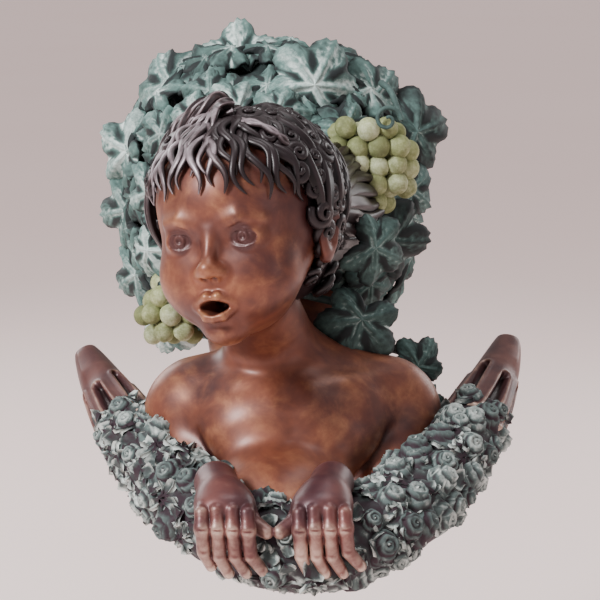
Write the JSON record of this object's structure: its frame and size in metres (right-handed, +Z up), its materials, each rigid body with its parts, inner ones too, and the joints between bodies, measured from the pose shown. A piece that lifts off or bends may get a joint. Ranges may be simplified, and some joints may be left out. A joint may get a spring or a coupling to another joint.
{
  "type": "wall fountain",
  "caption": "Bronze wall fountain: a child leaning out of a wreath of vine leaves and grapes, hands over a rose-wrapped crescent, with the mouth as its spout.",
  "frame": {"origin": "on the wall plane, at the middle of the flat back, 70 mm above the inlet", "axes": "+Z up, +X to the viewer's right, front towards -Y, wall at y = 0"},
  "size_m": [0.4282, 0.5043, 0.4608],
  "materials": {
    "bronze": "satin brown patina, rubbed bright on the high places",
    "hair_bronze": "dark brown patina, rubbed golden on the crests",
    "leaf_verdigris": "matt blue-green verdigris, pale on the veins and edges",
    "grape_verdigris": "satin yellow-green patina",
    "garland_verdigris": "matt grey-green verdigris over purple-brown"
  },
  "bodies": {
    "root": {"wall_fountain": "bronze"}
  },
  "joints": []
}
